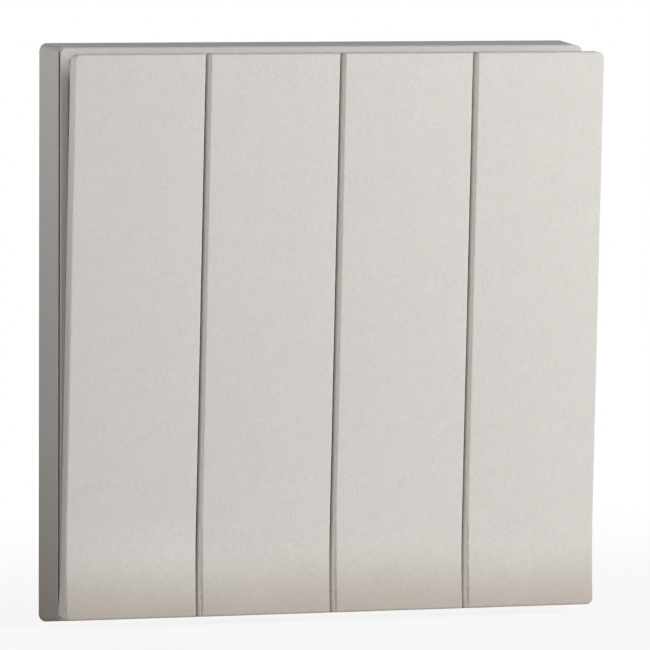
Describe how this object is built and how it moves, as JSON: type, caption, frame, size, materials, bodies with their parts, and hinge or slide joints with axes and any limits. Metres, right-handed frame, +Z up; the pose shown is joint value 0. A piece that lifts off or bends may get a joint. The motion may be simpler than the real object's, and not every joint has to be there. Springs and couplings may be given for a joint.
{
  "type": "wall light switch",
  "caption": "Square multi-gang wall light switch with tall rocker keys side by side, a rear frame, and sprung plungers that tip contact blades in a rear housing.",
  "frame": {"origin": "middle of the two wall screws, on the wall plane", "axes": "+X to the right of a person facing the keys, +Y into the wall, +Z up"},
  "size_m": [0.086, 0.0346, 0.086],
  "materials": {
    "shell_plastic": "pale warm grey, fine satin",
    "inner_plastic": "plain moulded",
    "terminal_brass": "plain",
    "plain_steel": "plated"
  },
  "bodies": {
    "base": {"outer_frame": "shell_plastic", "carrier_tray": "shell_plastic", "switch_housing": "inner_plastic", "housing_screws": "plain_steel", "common_terminal_1": "terminal_brass", "upper_terminal_1": "terminal_brass", "lower_terminal_1": "terminal_brass", "terminal_screws_1": "plain_steel", "common_terminal_2": "terminal_brass", "upper_terminal_2": "terminal_brass", "lower_terminal_2": "terminal_brass", "terminal_screws_2": "plain_steel", "common_terminal_3": "terminal_brass", "upper_terminal_3": "terminal_brass", "lower_terminal_3": "terminal_brass", "terminal_screws_3": "plain_steel", "common_terminal_4": "terminal_brass", "upper_terminal_4": "terminal_brass", "lower_terminal_4": "terminal_brass", "terminal_screws_4": "plain_steel"},
    "rocker_1": {"key_1": "shell_plastic", "cradle_1": "inner_plastic", "plunger_spring_1": "plain_steel"},
    "plunger_1": {"plunger_1": "inner_plastic"},
    "blade_1": {"contact_blade_1": "terminal_brass"},
    "rocker_2": {"key_2": "shell_plastic", "cradle_2": "inner_plastic", "plunger_spring_2": "plain_steel"},
    "plunger_2": {"plunger_2": "inner_plastic"},
    "blade_2": {"contact_blade_2": "terminal_brass"},
    "rocker_3": {"key_3": "shell_plastic", "cradle_3": "inner_plastic", "plunger_spring_3": "plain_steel"},
    "plunger_3": {"plunger_3": "inner_plastic"},
    "blade_3": {"contact_blade_3": "terminal_brass"},
    "rocker_4": {"key_4": "shell_plastic", "cradle_4": "inner_plastic", "plunger_spring_4": "plain_steel"},
    "plunger_4": {"plunger_4": "inner_plastic"},
    "blade_4": {"contact_blade_4": "terminal_brass"}
  },
  "joints": [
    {"name": "rocker_1_turn", "type": "hinge", "parent": "base", "child": "rocker_1", "pos_m": [-0.0186, -0.0062, 0], "axis": [-1, 0, 0], "range_deg": [0, 5.6]},
    {"name": "plunger_1_slide", "type": "slide", "parent": "rocker_1", "child": "plunger_1", "axis": [0, -0.9988, -0.0489], "range_m": [0, 0.0006], "stiffness_N_per_m": 120, "deforming": ["plunger_spring_1"]},
    {"name": "blade_1_tilt", "type": "hinge", "parent": "base", "child": "blade_1", "pos_m": [-0.0186, 0.00875, 0], "axis": [1, 0, 0], "range_deg": [0, 12]},
    {"name": "rocker_2_turn", "type": "hinge", "parent": "base", "child": "rocker_2", "pos_m": [-0.0062, -0.0062, 0], "axis": [-1, 0, 0], "range_deg": [0, 5.6]},
    {"name": "plunger_2_slide", "type": "slide", "parent": "rocker_2", "child": "plunger_2", "axis": [0, -0.9988, -0.0489], "range_m": [0, 0.0006], "stiffness_N_per_m": 120, "deforming": ["plunger_spring_2"]},
    {"name": "blade_2_tilt", "type": "hinge", "parent": "base", "child": "blade_2", "pos_m": [-0.0062, 0.00875, 0], "axis": [1, 0, 0], "range_deg": [0, 12]},
    {"name": "rocker_3_turn", "type": "hinge", "parent": "base", "child": "rocker_3", "pos_m": [0.0062, -0.0062, 0], "axis": [-1, 0, 0], "range_deg": [0, 5.6]},
    {"name": "plunger_3_slide", "type": "slide", "parent": "rocker_3", "child": "plunger_3", "axis": [0, -0.9988, -0.0489], "range_m": [0, 0.0006], "stiffness_N_per_m": 120, "deforming": ["plunger_spring_3"]},
    {"name": "blade_3_tilt", "type": "hinge", "parent": "base", "child": "blade_3", "pos_m": [0.0062, 0.00875, 0], "axis": [1, 0, 0], "range_deg": [0, 12]},
    {"name": "rocker_4_turn", "type": "hinge", "parent": "base", "child": "rocker_4", "pos_m": [0.0186, -0.0062, 0], "axis": [-1, 0, 0], "range_deg": [0, 5.6]},
    {"name": "plunger_4_slide", "type": "slide", "parent": "rocker_4", "child": "plunger_4", "axis": [0, -0.9988, -0.0489], "range_m": [0, 0.0006], "stiffness_N_per_m": 120, "deforming": ["plunger_spring_4"]},
    {"name": "blade_4_tilt", "type": "hinge", "parent": "base", "child": "blade_4", "pos_m": [0.0186, 0.00875, 0], "axis": [1, 0, 0], "range_deg": [0, 12]}
  ],
  "couplings": [
    {"joint": "blade_1_tilt", "follows": "rocker_1_turn", "ratio": 2.1429},
    {"joint": "blade_2_tilt", "follows": "rocker_2_turn", "ratio": 2.1429},
    {"joint": "blade_3_tilt", "follows": "rocker_3_turn", "ratio": 2.1429},
    {"joint": "blade_4_tilt", "follows": "rocker_4_turn", "ratio": 2.1429}
  ]
}
